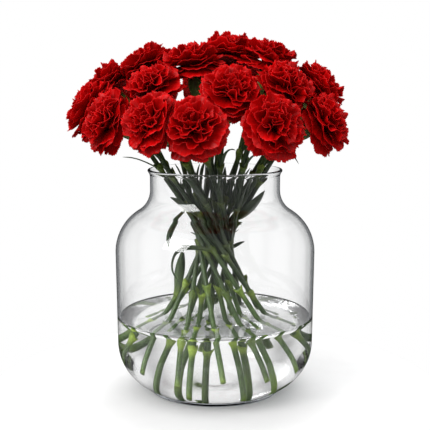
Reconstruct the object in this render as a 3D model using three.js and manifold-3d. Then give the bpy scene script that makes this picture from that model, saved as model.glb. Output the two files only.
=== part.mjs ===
// Nineteen red carnations standing in a clear glass vase of water.
// Millimetres, +Z up, front towards -Y. The origin is the middle of the flat underside of the vase.

import * as THREE from 'three';
import { mergeVertices } from 'three/addons/utils/BufferGeometryUtils.js';
import Module from 'manifold-3d';

// Vase
const VASE_HEIGHT = 235;
const FOOT_RADIUS = 70.5;
const FOOT_HEIGHT = 3.5;
const FOOT_FLARE = 0.5; // how much wider the foot is at its top
const HEEL_RADIUS = 103.8; // widest radius at the bottom of the wall
const HEEL_CURVE = 52;
const BODY_RADIUS = 105; // widest radius, at the start of the shoulder
const SHOULDER_CURVE = 50;
const SHOULDER_Z = 148;
const THROAT_CURVE = 26; // hollow curve between shoulder and neck
const NECK_RADIUS = 68.2;
const LIP_RADIUS = 70.6;
const LIP_HEIGHT = 7;
const LIP_OUTSIDE = [1, 1.2]; // bevels on the two edges of the lip, across and down
const LIP_INSIDE = 0.6;
const GLASS = 3;
const GLASS_FLOOR = 8;
const VASE_SIDES = 28;

// Water
const WATER_LEVEL = 79.5;
const GAP = 0.3; // left free between pieces that touch

// The bunch: stems cross at its waist, each turned the same way, and fan out above and below
const WAIST_Z = 154;
const WAIST_RINGS = [1.5, 8.6, 16.9]; // radius of the middle stem, of the inner six and of the outer twelve
const RING_COUNTS = [1, 6, 12];
const RING_START = [0, 26, 1]; // bearing of the first bloom in each ring, degrees
const STEM_TURN = 76; // degrees that a stem turns round the bunch between its waist and its bloom
const SLANT = 0.04; // sideways run of a stem for each mm of height and each mm from the middle
const BEND_START = 0.5; // how far a stem keeps its slant above the waist, as a share of the way to its bloom
const BEND_END = 0.12;
const FOCUS_Z = 215; // the blooms look away from this height on the axis
const FOOT_Z = [10.5, 11.5, 26]; // lowest height of the cut foot in each ring
const FOOT_DRIFT = 7; // how much shorter a stem may be cut
const HOLE_END = 0.6; // where the hole in the water ends, as a share of the way from a foot to the waist
const NEAR = 0.004; // share of a stem's length over which its direction is taken
const STEM_SEED = 100;

// Stem
const STEM_RADIUS = 2.7;
const STEM_SIDES = 5;
const FOOT_THIN = 0.95; // radius at the cut foot and at the calyx, as a share of the stem's
const NECK_THIN = 0.92; // and half-way between its last joint and the calyx
const JOINT_SWELL = 1.4;
const JOINT_BELOW = 4; // mm over which a joint swells
const JOINT_ABOVE = 3; // and narrows again
const FIRST_JOINT = 22; // mm from the cut foot
const JOINT_STEP = 51;
const JOINT_DRIFT = 30; // how much further up the first joint may sit
const JOINTS = 5;

// Calyx, the green cup under the bloom
const CALYX_LENGTH = 27;
const CALYX_RADIUS = 7.2;
const TOOTH = 3; // height of a tooth over the rim of the cup, and depth of the notch under it
const CUP_DEPTH = 9;
const CALYX_RINGS = [[6, 0.85], [17, 1]]; // height, and radius as a share of the calyx's
const NOTCH_IN = 0.86; // radius of the rim in a notch and at the tip of a tooth, as a share of the calyx's
const TOOTH_IN = 0.98;

// Bloom
const BLOOM_CENTRE = 13; // middle of the bloom over the rim of the calyx
const BLOOM_RADIUS = 36;
const PETAL_THICK = 0.9;
const PETAL_TEETH = 0.13; // depth of the notches in the edge, as a share of the petal's length
const PETAL_WAVE = 2.6;
const WAVE_DRIFT = [0.7, 0.6]; // least share of the wave's depth, and how much more it may be
const EDGE_DRIFT = 0.08; // how much shorter a petal may be at any point of its edge
const PETAL_FILL = 0.93; // share of its sector that a petal fills
const PETAL_LEAN = 0.12;
const BLOOM_SEED = 500;
const PRESS_GAP = 0.85; // how far a petal stays from the plane between two blooms
const PRESS_SOFT = 2.4;
const PRESS_REACH = 2.3; // blooms nearer than this many radii press on each other

// The line down a petal's middle in each whorl: root, bend and tip (radius, height), and teeth on the edge
const PETALS = 5; // in a whorl, each whorl turned half a petal from the one below
const SPLIT = 0.5; // share of its length at which a petal parts from its neighbours
const SPLIT_SIDE = 0.85; // how wide it is there, as a share of its full width
const SPLIT_WAVE = 0.8;
const WHORLS = [
  { root: [4.6, 5], bend: [19, 19], tip: [36, 0], teeth: 4 },
  { root: [4.4, 9], bend: [16, 34], tip: [33, 16], teeth: 4 },
  { root: [3.4, 13], bend: [10, 35], tip: [20, 29], teeth: 2 },
];
const PLUG = [[2, -4], [4.2, 2]]; // radius and height of the claws, bundled in the calyx
const HEART_RISE = 2; // height of the bloom's middle over the root of the last whorl

// Middle of each bloom, and how much of its height counts when it looks up. The first stem stands in the
// middle, six round it and twelve outside them, both anticlockwise from the right.
const BLOOMS = [
  [-24, -8, 343, 1],
  [57, 3, 346, 1],
  [16, 36, 353, 1],
  [-74, 36, 340, 1],
  [-62, -34, 320, 1],
  [18, -58, 315, 0.7],
  [71, -42, 319, 0.9],
  [107, 14, 319, 1],
  [107, 60, 304, 1],
  [64, 82, 320, 1],
  [-5, 96, 322, 1],
  [-73, 93, 314, 1],
  [-115, 42, 318, 1],
  [-128, -6, 296, 0.8],
  [-106, -50, 286, 0.8],
  [-62, -79, 287, 0.9],
  [-20, -92, 283, 0.9],
  [58, -82, 284, 0.6],
  [108, -42, 286, 0.9],
];

// Leaves: bloom number, joint that it grows from, degrees aside, length, degrees off the stem and of curl, width,
// and degrees by which it turns over from base to tip
const LEAVES = [
  [5, 4, 0, 46, 4, 20, 6, 40],
  [6, 4, 0, 40, 6, 20, 6, 40],
  [6, 5, 30, 34, 12, 120, 5, 0],
  [7, 4, 0, 46, 5, 20, 6, 40],
  [8, 4, 0, 22, 60, 40, 5, 0],
  [8, 5, 10, 34, 10, 90, 5, 0],
  [9, 2, 30, 54, 26, 0, 11, 120],
  [9, 4, 0, 50, 5, 20, 7, 40],
  [9, 5, -10, 44, -4, 120, 5, 0],
  [10, 3, 30, 20, 60, 40, 4, 0],
  [10, 4, 10, 56, 6, 40, 6, 40],
  [10, 5, 15, 36, 10, 80, 5, 0],
  [11, 3, 0, 20, 70, 60, 4, 30],
  [11, 4, -10, 58, 6, 50, 6, 40],
  [11, 5, 0, 38, 15, 100, 5, 0],
  [12, 4, 0, 50, 5, 30, 7, 40],
  [12, 5, -15, 34, 10, 110, 5, 0],
  [13, 4, 0, 54, 2, 30, 7, 40],
  [13, 5, 10, 44, -10, 120, 5, 0],
  [14, 3, -32, 98, 60, 185, 7, 60],
  [14, 4, -20, 46, 110, 60, 8, 90],
  [14, 5, -5, 40, 30, 40, 4, 0],
  [15, 3, 0, 46, 8, 20, 7, 60],
  [15, 4, -10, 40, 20, 20, 9, 30],
  [15, 5, 0, 50, -2, 110, 5, 0],
  [16, 3, 0, 46, 8, 20, 7, 60],
  [16, 4, -15, 50, 4, 50, 7, 30],
  [17, 3, 0, 44, 8, 20, 7, 60],
  [17, 4, 10, 50, 10, 70, 6, 30],
  [18, 3, 0, 18, 60, 30, 5, 0],
  [18, 4, 0, 50, 5, 20, 7, 60],
  [18, 5, 10, 34, 20, 90, 5, 0],
  [19, 4, -70, 54, 20, -8, 15, 20],
  [19, 5, 0, 62, -8, 190, 5, 0],
];
const LEAF_SEAT = 0.4; // how far from the stem's middle a leaf starts, as a share of the stem's radius
const LEAF_OUTLINE = [0.28, 0.62]; // its width follows a half wave, from this share of it on and for so much
const LEAF_KEEL = 0.29; // depth of the fold down the middle of a leaf at its base, as a share of its width
const KEEL_FADE = 0.45; // how much shallower the fold is at the tip
const LEAF_STEPS = 5;
const LEAF_CURL_POWER = 2; // over 1, so that a leaf curls most towards its tip

const wasm = await Module();
wasm.setup();

const UP = new THREE.Vector3(0, 0, 1);
const radians = THREE.MathUtils.degToRad;

function seededRandom(seed) {
  let state = seed;
  return () => {
    state = (state + 0x6d2b79f5) | 0;
    let t = Math.imul(state ^ (state >>> 15), 1 | state);
    t = (t + Math.imul(t ^ (t >>> 7), 61 | t)) ^ t;
    return ((t ^ (t >>> 14)) >>> 0) / 4294967296;
  };
}

// ---- Solids and skins ----

function solid(geometry) {
  const bare = geometry.clone();
  bare.deleteAttribute('normal');
  bare.deleteAttribute('uv');
  const merged = mergeVertices(bare, 1e-4);
  return new wasm.Manifold(new wasm.Mesh({
    numProp: 3,
    vertProperties: new Float32Array(merged.attributes.position.array),
    triVerts: new Uint32Array(merged.index.array),
  }));
}

function geometryOf(manifold) {
  const mesh = manifold.getMesh();
  const geometry = new THREE.BufferGeometry();
  geometry.setAttribute('position', new THREE.BufferAttribute(mesh.vertProperties, mesh.numProp));
  geometry.setIndex(new THREE.BufferAttribute(mesh.triVerts, 1));
  geometry.computeVertexNormals();
  return geometry;
}

function join(geometries) {
  return geometries.map(solid).reduce((whole, piece) => whole.add(piece));
}

function surface(points, faces) {
  const geometry = new THREE.BufferGeometry();
  geometry.setAttribute('position', new THREE.Float32BufferAttribute(points.flatMap((p) => p.toArray()), 3));
  geometry.setIndex(faces.flat());
  return geometry;
}

// A closed skin over a row of rings, from a point below the first to a point above the last.
// A ring may have twice the corners of the one before it.
function skin(start, rings, end) {
  const points = [start, ...rings.flat(), end];
  const faces = [];
  let first = 1;
  rings.forEach((ring, k) => {
    const n = ring.length;
    const corner = (i) => first + (i % n);
    if (k === 0) {
      for (let i = 0; i < n; i++) faces.push([0, corner(i + 1), corner(i)]);
    }
    if (k === rings.length - 1) {
      for (let i = 0; i < n; i++) faces.push([points.length - 1, corner(i), corner(i + 1)]);
      return;
    }
    const above = rings[k + 1].length;
    const next = (i) => first + n + (i % above);
    for (let i = 0; i < n; i++) {
      if (above === n) {
        faces.push([corner(i), corner(i + 1), next(i + 1)], [corner(i), next(i + 1), next(i)]);
      } else {
        faces.push([corner(i), next(2 * i + 1), next(2 * i)]);
        faces.push([corner(i), corner(i + 1), next(2 * i + 1)]);
        faces.push([corner(i + 1), next(2 * i + 2), next(2 * i + 1)]);
      }
    }
    first += n;
  });
  return surface(points, faces);
}

// ---- Vase and water ----

function arc(x, y, radius, from, to, steps) {
  const curve = new THREE.EllipseCurve(x, y, radius, radius, from, to, to < from);
  return curve.getPoints(steps);
}

// The line of the vase's wall from the foot up to the neck, moved inwards by a wall thickness.
// It starts at height bottom and ends at height top, or at the foot of the neck.
function wallLine(inset, bottom, top = VASE_HEIGHT) {
  const heelX = HEEL_RADIUS - HEEL_CURVE;
  const heelRound = HEEL_CURVE - inset;
  const shoulderX = BODY_RADIUS - SHOULDER_CURVE;
  const throatX = NECK_RADIUS + THROAT_CURVE;
  const rise = Math.sqrt((SHOULDER_CURVE + THROAT_CURVE) ** 2 - (throatX - shoulderX) ** 2);
  const turn = Math.atan2(rise, throatX - shoulderX);
  const heel = arc(heelX, HEEL_CURVE, heelRound, -Math.asin((HEEL_CURVE - bottom) / heelRound), 0, 4);
  if (top < SHOULDER_Z) {
    const share = (top - HEEL_CURVE) / (SHOULDER_Z - HEEL_CURVE);
    const radius = THREE.MathUtils.lerp(HEEL_RADIUS, BODY_RADIUS, share) - inset;
    return [...heel, new THREE.Vector2(radius, top)];
  }
  return [
    ...heel,
    ...arc(shoulderX, SHOULDER_Z, SHOULDER_CURVE - inset, 0, turn, 3),
    ...arc(throatX, SHOULDER_Z + rise, THROAT_CURVE + inset, Math.PI + turn, Math.PI, 3).slice(1),
  ];
}

function vase() {
  const outline = [
    new THREE.Vector2(0, 0),
    new THREE.Vector2(FOOT_RADIUS, 0),
    new THREE.Vector2(FOOT_RADIUS + FOOT_FLARE, FOOT_HEIGHT),
    ...wallLine(0, FOOT_HEIGHT),
    new THREE.Vector2(NECK_RADIUS, VASE_HEIGHT - LIP_HEIGHT),
    new THREE.Vector2(LIP_RADIUS, VASE_HEIGHT - LIP_OUTSIDE[1]),
    new THREE.Vector2(LIP_RADIUS - LIP_OUTSIDE[0], VASE_HEIGHT),
    new THREE.Vector2(LIP_RADIUS - GLASS + LIP_INSIDE, VASE_HEIGHT),
    new THREE.Vector2(NECK_RADIUS - GLASS, VASE_HEIGHT - LIP_HEIGHT),
    ...wallLine(GLASS, GLASS_FLOOR).reverse(),
    new THREE.Vector2(0, GLASS_FLOOR),
  ];
  return new THREE.LatheGeometry(outline, VASE_SIDES).rotateX(Math.PI / 2);
}

function water(paths) {
  const outline = [
    new THREE.Vector2(0, GLASS_FLOOR + GAP),
    ...wallLine(GLASS + GAP, GLASS_FLOOR + GAP, WATER_LEVEL),
    new THREE.Vector2(0, WATER_LEVEL),
  ];
  const body = solid(new THREE.LatheGeometry(outline, VASE_SIDES).rotateX(Math.PI / 2));
  return geometryOf(paths.map(stemHole).reduce((rest, hole) => rest.subtract(solid(hole)), body));
}

// A plain straight hole, wide enough for a stem's joints and a little longer than the stem.
function stemHole(path) {
  const radius = STEM_RADIUS * JOINT_SWELL + 2 * GAP;
  const direction = path.waist.clone().sub(path.foot).normalize();
  const low = path.foot.clone().addScaledVector(direction, -GAP);
  const high = path.foot.clone().lerp(path.waist, HOLE_END);
  const end = (at) => ring(at, direction, radius, path.across);
  return skin(low, [end(low), end(high)], high);
}

// ---- Stems ----

function stemPath(index) {
  let ringNumber = 0;
  let place = index;
  while (place >= RING_COUNTS[ringNumber]) {
    place -= RING_COUNTS[ringNumber];
    ringNumber += 1;
  }
  const bearing = radians(RING_START[ringNumber] + (place * 360) / RING_COUNTS[ringNumber] + STEM_TURN);
  const radius = WAIST_RINGS[ringNumber];
  const waist = new THREE.Vector3(radius * Math.cos(bearing), radius * Math.sin(bearing), WAIST_Z);
  const rising = new THREE.Vector3(SLANT * waist.y, -SLANT * waist.x, 1);
  const random = seededRandom(STEM_SEED + index);
  const footZ = FOOT_Z[ringNumber] + FOOT_DRIFT * random();
  const foot = waist.clone().addScaledVector(rising, footZ - WAIST_Z);
  rising.normalize();
  const [x, y, z, lift] = BLOOMS[index];
  const axis = new THREE.Vector3(x, y, (z - FOCUS_Z) * lift).normalize();
  const head = new THREE.Vector3(x, y, z).addScaledVector(axis, -(CALYX_LENGTH + BLOOM_CENTRE));
  const reach = waist.distanceTo(head);
  const bend = new THREE.CubicBezierCurve3(
    waist,
    waist.clone().addScaledVector(rising, BEND_START * reach),
    head.clone().addScaledVector(axis, -BEND_END * reach),
    head,
  );
  const whole = new THREE.CurvePath();
  whole.add(new THREE.LineCurve3(foot, waist));
  whole.add(bend);
  const across = new THREE.Vector3(1, 0, 0);
  return { foot, waist, head, axis, whole, across, length: whole.getLength(), random };
}

function at(path, distance) {
  const share = THREE.MathUtils.clamp(distance / path.length, 0, 1);
  const before = path.whole.getPoint(Math.max(share - NEAR, 0));
  const after = path.whole.getPoint(Math.min(share + NEAR, 1));
  return { point: path.whole.getPoint(share), direction: after.sub(before).normalize() };
}

// A ring of corners round a point, square to a direction, whose first corner lies towards across.
function ring(centre, direction, radius, across, corners = STEM_SIDES) {
  const side = across.clone().addScaledVector(direction, -across.dot(direction)).normalize();
  const other = direction.clone().cross(side);
  return Array.from({ length: corners }, (_, i) => {
    const turn = (i * 2 * Math.PI) / corners;
    const r = Array.isArray(radius) ? radius[i % radius.length] : radius;
    return centre.clone().addScaledVector(side, r * Math.cos(turn)).addScaledVector(other, r * Math.sin(turn));
  });
}

function jointDistances(path) {
  const first = FIRST_JOINT + path.random() * JOINT_DRIFT;
  return Array.from({ length: JOINTS }, (_, k) => first + k * JOINT_STEP);
}

function stem(path, joints) {
  const stations = [{ distance: 0, radius: STEM_RADIUS * FOOT_THIN }];
  for (const joint of joints) {
    stations.push({ distance: joint - JOINT_BELOW, radius: STEM_RADIUS });
    stations.push({ distance: joint, radius: STEM_RADIUS * JOINT_SWELL });
    stations.push({ distance: joint + JOINT_ABOVE, radius: STEM_RADIUS });
  }
  const lastJoint = joints[joints.length - 1];
  stations.push({ distance: (lastJoint + path.length) / 2, radius: STEM_RADIUS * NECK_THIN });
  stations.push({ distance: path.length, radius: STEM_RADIUS * FOOT_THIN });
  const rings = stations.map(({ distance, radius }) => {
    const { point, direction } = at(path, distance);
    return ring(point, direction, radius, path.across);
  });
  const up = (height) => path.head.clone().addScaledVector(path.axis, height);
  for (const [height, share] of CALYX_RINGS) {
    rings.push(ring(up(height), path.axis, CALYX_RADIUS * share, path.across));
  }
  const rim = (height, share) => ring(up(height), path.axis, CALYX_RADIUS * share, path.across, 2 * STEM_SIDES);
  const notches = rim(CALYX_LENGTH - TOOTH, NOTCH_IN);
  const tips = rim(CALYX_LENGTH + TOOTH, TOOTH_IN);
  rings.push(notches.map((notch, i) => (i % 2 ? notch : tips[i])));
  return skin(path.foot, rings, up(CALYX_LENGTH - CUP_DEPTH));
}

// A folded strap leaf: three-sided, widest near a third of its length, curling outwards and down, and turning
// over on its way to the tip.
function leaf(path, joints, [, joint, aside, length, off, curl, width, twist]) {
  const { point, direction } = at(path, joints[joint - 1]);
  const outwards = new THREE.Vector3(point.x, point.y, 0).normalize().applyAxisAngle(UP, radians(aside));
  const hinge = direction.clone().cross(outwards).normalize();
  const rings = [];
  let here = point.clone().addScaledVector(outwards, STEM_RADIUS * LEAF_SEAT);
  for (let k = 0; k < LEAF_STEPS; k++) {
    const share = k / LEAF_STEPS;
    const heading = direction.clone().applyAxisAngle(hinge, radians(off + curl * share ** LEAF_CURL_POWER));
    const side = hinge.clone().applyAxisAngle(heading, radians(twist * share));
    const back = side.clone().cross(heading).normalize();
    const half = (width / 2) * Math.sin(Math.PI * (LEAF_OUTLINE[0] + LEAF_OUTLINE[1] * share));
    rings.push([
      here.clone().addScaledVector(side, -half),
      here.clone().addScaledVector(back, LEAF_KEEL * width * (1 - KEEL_FADE * share)),
      here.clone().addScaledVector(side, half),
    ]);
    here = here.clone().addScaledVector(heading, length / LEAF_STEPS);
  }
  const start = rings[0].reduce((sum, p) => sum.add(p), new THREE.Vector3()).divideScalar(rings[0].length);
  return skin(start, rings, here);
}

// ---- Blooms ----

// The planes half-way to the neighbouring blooms, in the bloom's own frame: direction, and distance from its
// middle.
function pressPlanes(index, centres, quaternion) {
  const back = quaternion.clone().invert();
  return centres.flatMap((other, i) => {
    const apart = other.distanceTo(centres[index]);
    if (i === index || apart > PRESS_REACH * BLOOM_RADIUS) return [];
    const towards = other.clone().sub(centres[index]).normalize().applyQuaternion(back);
    return [{ towards, limit: apart / 2 - PRESS_GAP }];
  });
}

// Presses a point softly back behind each plane, so that neighbouring petals meet and don't cross.
function press(point, planes) {
  const middle = new THREE.Vector3(0, 0, BLOOM_CENTRE);
  for (const { towards, limit } of planes) {
    const distance = point.clone().sub(middle).dot(towards);
    const over = PRESS_SOFT * Math.log1p(Math.exp((distance - limit) / PRESS_SOFT));
    point.addScaledVector(towards, -over);
  }
  return point;
}

// One whorl of petals as a sheet: a ring of corners at the heart, a cup that splits into petals half-way up,
// and a waved, toothed edge on each. Its corners run: heart ring, then for each petal left, edge, right.
function whorlSheet(whorl, start, planes, random) {
  const line = new THREE.QuadraticBezierCurve(
    new THREE.Vector2(...whorl.root),
    new THREE.Vector2(...whorl.bend),
    new THREE.Vector2(...whorl.tip),
  );
  const share = (2 * Math.PI) / PETALS;
  const half = (share / 2) * PETAL_FILL;
  const place = (petal, along, aside, wave, lean = 0) => {
    const { x: radius, y: height } = line.getPoint(along);
    const slope = line.getTangent(along);
    const turn = start + petal * share + aside * half;
    const r = radius - slope.y * wave;
    const z = height + slope.x * wave + radius * lean * aside;
    return press(new THREE.Vector3(r * Math.cos(turn), r * Math.sin(turn), z), planes);
  };
  const points = Array.from({ length: PETALS }, (_, petal) => place(petal, 0, 0, 0));
  const faces = [];
  const size = whorl.teeth + 3;
  const middle = whorl.teeth / 2;
  for (let petal = 0; petal < PETALS; petal++) {
    const lean = (random() - 0.5) * PETAL_LEAN;
    const left = points.length;
    const right = left + size - 1;
    const edge = (i) => left + 1 + i;
    points.push(place(petal, SPLIT, -SPLIT_SIDE, SPLIT_WAVE, lean));
    for (let i = 0; i <= whorl.teeth; i++) {
      const inner = i % 2 === 0;
      const along = 1 - (inner ? PETAL_TEETH : 0) - EDGE_DRIFT * random();
      const wave = (inner ? 1 : -1) * PETAL_WAVE * (WAVE_DRIFT[0] + WAVE_DRIFT[1] * random());
      points.push(place(petal, along, -1 + (2 * i) / whorl.teeth, wave, lean));
    }
    points.push(place(petal, SPLIT, SPLIT_SIDE, SPLIT_WAVE, lean));
    for (let i = 0; i < middle; i++) faces.push([left, edge(i), edge(i + 1)]);
    faces.push([left, edge(middle), right]);
    for (let i = middle; i < whorl.teeth; i++) faces.push([right, edge(i), edge(i + 1)]);
    const following = (petal + 1) % PETALS;
    const nextLeft = PETALS + following * size;
    faces.push([petal, left, right], [petal, right, nextLeft], [petal, nextLeft, following]);
  }
  return { points, faces };
}

// The bloom as one skin: a plug that sits in the calyx, then each whorl as a blade with both its faces, split
// into triangles alike, joined to the next whorl by a short piece of the heart.
function bloom(index, planes) {
  const random = seededRandom(BLOOM_SEED + index);
  const start = random() * 2 * Math.PI;
  const middle = (height) => new THREE.Vector3(0, 0, height);
  const across = new THREE.Vector3(Math.cos(start), Math.sin(start), 0);
  const points = [middle(PLUG[0][1])];
  const faces = [];
  const wrap = (first, i) => first + (i % PETALS);
  let below = 1;
  PLUG.forEach(([radius, height], k) => {
    points.push(...ring(middle(height), UP, radius, across, PETALS));
    for (let i = 0; i < PETALS; i++) {
      if (k === 0) {
        faces.push([0, wrap(1, i + 1), wrap(1, i)]);
      } else {
        const above = below + PETALS;
        faces.push([wrap(below, i), wrap(below, i + 1), wrap(above, i + 1)]);
        faces.push([wrap(below, i), wrap(above, i + 1), wrap(above, i)]);
      }
    }
    if (k > 0) below += PETALS;
  });
  WHORLS.forEach((whorl, k) => {
    const sheet = whorlSheet(whorl, start + (k * Math.PI) / PETALS, planes, random);
    const skinFaces = surface(sheet.points, sheet.faces);
    skinFaces.computeVertexNormals();
    const normals = skinFaces.attributes.normal;
    const n = sheet.points.length;
    const moved = (side) => sheet.points.map((p, i) => (
      p.clone().addScaledVector(new THREE.Vector3().fromBufferAttribute(normals, i), (side * PETAL_THICK) / 2)
    ));
    const under = points.length;
    const over = under + n;
    points.push(...moved(-1), ...moved(1));
    for (let i = 0; i < PETALS; i++) {
      if (k === 0) {
        faces.push([wrap(below, i), wrap(below, i + 1), wrap(under, i + 1)]);
        faces.push([wrap(below, i), wrap(under, i + 1), wrap(under, i)]);
      } else {
        faces.push([wrap(below, i), wrap(below, i + 1), wrap(under, i)]);
        faces.push([wrap(under, i), wrap(below, i + 1), wrap(under, i + 1)]);
      }
    }
    for (const [a, b, c] of sheet.faces) {
      faces.push([over + a, over + b, over + c], [under + a, under + c, under + b]);
    }
    for (let a = PETALS; a < n; a++) {
      const b = a + 1 < n ? a + 1 : PETALS;
      faces.push([under + a, under + b, over + b], [under + a, over + b, over + a]);
    }
    below = over;
  });
  const top = points.length;
  points.push(middle(WHORLS[WHORLS.length - 1].root[1] + HEART_RISE));
  for (let i = 0; i < PETALS; i++) faces.push([wrap(below, i), wrap(below, i + 1), top]);
  return surface(points, faces);
}

// ---- The whole object ----

const bouquet = new THREE.Group();

function add(name, geometry, material) {
  const mesh = new THREE.Mesh(geometry, material);
  mesh.name = name;
  bouquet.add(mesh);
  return mesh;
}

const paths = BLOOMS.map((_, index) => stemPath(index));
const centres = BLOOMS.map(([x, y, z]) => new THREE.Vector3(x, y, z));
const number = (index) => String(index + 1).padStart(2, '0');

add('vase', vase(), new THREE.MeshStandardMaterial({
  color: 0xf2f6f7, roughness: 0.03, metalness: 0, transparent: true, opacity: 0.25,
}));
add('water', water(paths), new THREE.MeshStandardMaterial({
  color: 0xe4edef, roughness: 0.02, metalness: 0, transparent: true, opacity: 0.3,
}));

paths.forEach((path, index) => {
  const joints = jointDistances(path);
  const leaves = LEAVES.filter(([owner]) => owner === index + 1).map((row) => leaf(path, joints, row));
  add('stem_' + number(index), geometryOf(join([stem(path, joints), ...leaves])), new THREE.MeshStandardMaterial({
    color: 0x5d6b45, roughness: 0.6, metalness: 0,
  }));
});

paths.forEach((path, index) => {
  const quaternion = new THREE.Quaternion().setFromUnitVectors(UP, path.axis);
  const planes = pressPlanes(index, centres, quaternion);
  const mesh = add('bloom_' + number(index), bloom(index, planes), new THREE.MeshStandardMaterial({
    color: 0x920a0d, roughness: 0.75, metalness: 0,
  }));
  mesh.quaternion.copy(quaternion);
  mesh.position.copy(path.head).addScaledVector(path.axis, CALYX_LENGTH);
});

export default bouquet;
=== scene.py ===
import math

import bpy
import numpy as np
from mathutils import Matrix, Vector


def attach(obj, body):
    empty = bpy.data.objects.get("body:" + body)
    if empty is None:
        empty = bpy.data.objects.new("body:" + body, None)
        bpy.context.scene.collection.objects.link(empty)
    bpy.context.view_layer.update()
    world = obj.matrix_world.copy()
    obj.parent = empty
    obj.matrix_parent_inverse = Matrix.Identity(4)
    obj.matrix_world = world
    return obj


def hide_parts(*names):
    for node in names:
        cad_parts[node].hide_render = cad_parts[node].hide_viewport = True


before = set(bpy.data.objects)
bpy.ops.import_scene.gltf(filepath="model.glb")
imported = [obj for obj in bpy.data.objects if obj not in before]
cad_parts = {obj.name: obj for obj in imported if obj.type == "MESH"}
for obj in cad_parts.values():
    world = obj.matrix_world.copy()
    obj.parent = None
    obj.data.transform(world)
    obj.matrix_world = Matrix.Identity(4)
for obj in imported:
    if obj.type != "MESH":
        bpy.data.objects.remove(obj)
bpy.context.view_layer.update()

# ---- Camera ----
# It stands just under a metre in front of the vase, a little below the tops of the flowers, and
# looks slightly down on them with a long lens.
MM = 0.001
CAMERA_PLACE = (0, -960 * MM, 325 * MM)
CAMERA_TILT = 8.25  # degrees below the horizon
SENSOR = 36
LENS = 76.9

lens = bpy.data.cameras.new("camera")
lens.sensor_width = SENSOR
lens.lens = LENS
camera = bpy.data.objects.new("camera", lens)
camera.location = CAMERA_PLACE
camera.rotation_euler = (math.radians(90 - CAMERA_TILT), 0, 0)
bpy.context.scene.collection.objects.link(camera)
bpy.context.scene.camera = camera

# ---- Floor and light ----
# A round white board on white, under a wide soft sky and one soft box at the upper left, which shines in
# the glass. Clear glass shows by what stands round it, so it sees a ring of white panels with grey gaps.
PANELS = 8
PANEL_LIGHT = [(0.0, 0.46), (0.2, 0.78), (0.5, 0.98), (0.8, 1.06)]  # from mid-gap to mid-panel
ROUND_LIGHT = [(0.0, 0.4), (0.5, 0.45), (1.0, 0.9)]  # from below, past the horizon, to above
MIRRORED_LIGHT = (0.36, 0.37, 0.38, 1)  # what the inner side of a wall mirrors, seen from outside
BACKDROP = (1, 1, 1, 1)
NEAR_WALLS = 2.5  # a mirrored ray counts as one of a near wall up to this many surfaces in
LIGHT_BOUNCES = 24
GLASS_BOUNCES = 20

KEY_PLACE = (-1150 * MM, -950 * MM, 1300 * MM)
KEY_SIZE = 900 * MM
KEY_POWER = 19
LIT_PLACE = (0, 0, 250 * MM)  # the middle of the flowers, which the soft box faces
SKY_STRENGTH = 2.1
SKY_SPREAD = 120  # degrees
SKY_TILT = (12, -10, 0)  # degrees that it leans to the front and to the left

FLOOR_RADIUS = 240 * MM
FLOOR_SIDES = 96
FLOOR_DROP = 0.2 * MM  # under the foot, so that the two faces don't flicker
BOARD_WHITE = [(0.3, 0.83), (0.7, 0.85)]
PAINTED_SHADOW_MIDDLE = (-12 * MM, -62 * MM, 0)  # the middle of a painted shadow, a soft grey on the board just in front of the foot
PAINTED_SHADOW_REACH = {"From Min": 70 * MM, "From Max": 165 * MM, "To Min": 0.78}


def node(tree, kind, inputs=None, **settings):
    """A new shader node. An input is set to a value, or joined to a socket."""
    made = tree.nodes.new("ShaderNode" + kind)
    for name, value in settings.items():
        setattr(made, name, value)
    for name, value in (inputs or {}).items():
        if isinstance(value, bpy.types.NodeSocket):
            tree.links.new(value, made.inputs[name])
        else:
            made.inputs[name].default_value = value
    return made


def ramp(tree, value, stops):
    """A colour ramp read at a value. A stop is a place with a grey or a colour."""
    made = node(tree, "ValToRGB", {"Fac": value})
    points = made.color_ramp.elements
    while len(points) < len(stops):
        points.new(0.5)
    for point, (place, colour) in zip(points, stops):
        point.position = place
        point.color = (*colour, 1) if isinstance(colour, tuple) else (colour, colour, colour, 1)
    return made.outputs["Color"]


def new_material(name):
    """An empty material and the tree of its nodes."""
    material = bpy.data.materials.new(name)
    material.use_nodes = True
    material.node_tree.nodes.clear()
    return material, material.node_tree


def finish_material(tree, surface, volume=None):
    """Joins a surface, and what fills the body, to the end of a material."""
    end = node(tree, "OutputMaterial", {"Surface": surface})
    if volume is not None:
        tree.links.new(volume, end.inputs["Volume"])


studio = bpy.data.worlds.new("studio")
studio.use_nodes = True
studio.node_tree.nodes.clear()
air = studio.node_tree
direction = node(air, "SeparateXYZ", {"Vector": node(air, "TexCoord").outputs["Generated"]})
bearing = node(air, "Math", {0: direction.outputs["Y"], 1: direction.outputs["X"]}, operation="ARCTAN2")
turns = node(air, "Math", {0: bearing.outputs[0], 1: PANELS}, operation="MULTIPLY")
panel = node(air, "Math", {0: turns.outputs[0]}, operation="COSINE")
panel_share = node(air, "MapRange", {"Value": panel.outputs[0], "From Min": -1, "From Max": 1})
height_share = node(air, "MapRange", {"Value": direction.outputs["Z"], "From Min": -1, "From Max": 1})
ray = node(air, "LightPath")
light = ramp(air, height_share.outputs[0], ROUND_LIGHT)
near = node(air, "Math", {0: ray.outputs["Transmission Depth"], 1: NEAR_WALLS}, operation="LESS_THAN")
mirrored = node(air, "Math", {0: near.outputs[0]}, operation="MULTIPLY", use_clamp=True)
air.links.new(ray.outputs["Glossy Depth"], mirrored.inputs[1])
for share, colour in [
    (ray.outputs["Is Transmission Ray"], ramp(air, panel_share.outputs[0], PANEL_LIGHT)),
    (mirrored.outputs[0], MIRRORED_LIGHT),
    (ray.outputs["Is Camera Ray"], BACKDROP),
]:
    light = node(air, "MixRGB", {"Fac": share, "Color1": light, "Color2": colour}).outputs[0]
around = node(air, "Background", {"Color": light})
air.links.new(around.outputs[0], node(air, "OutputWorld").inputs["Surface"])
bpy.context.scene.world = studio
studio.cycles_visibility.glossy = False
bpy.context.scene.view_settings.view_transform = "Standard"
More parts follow.
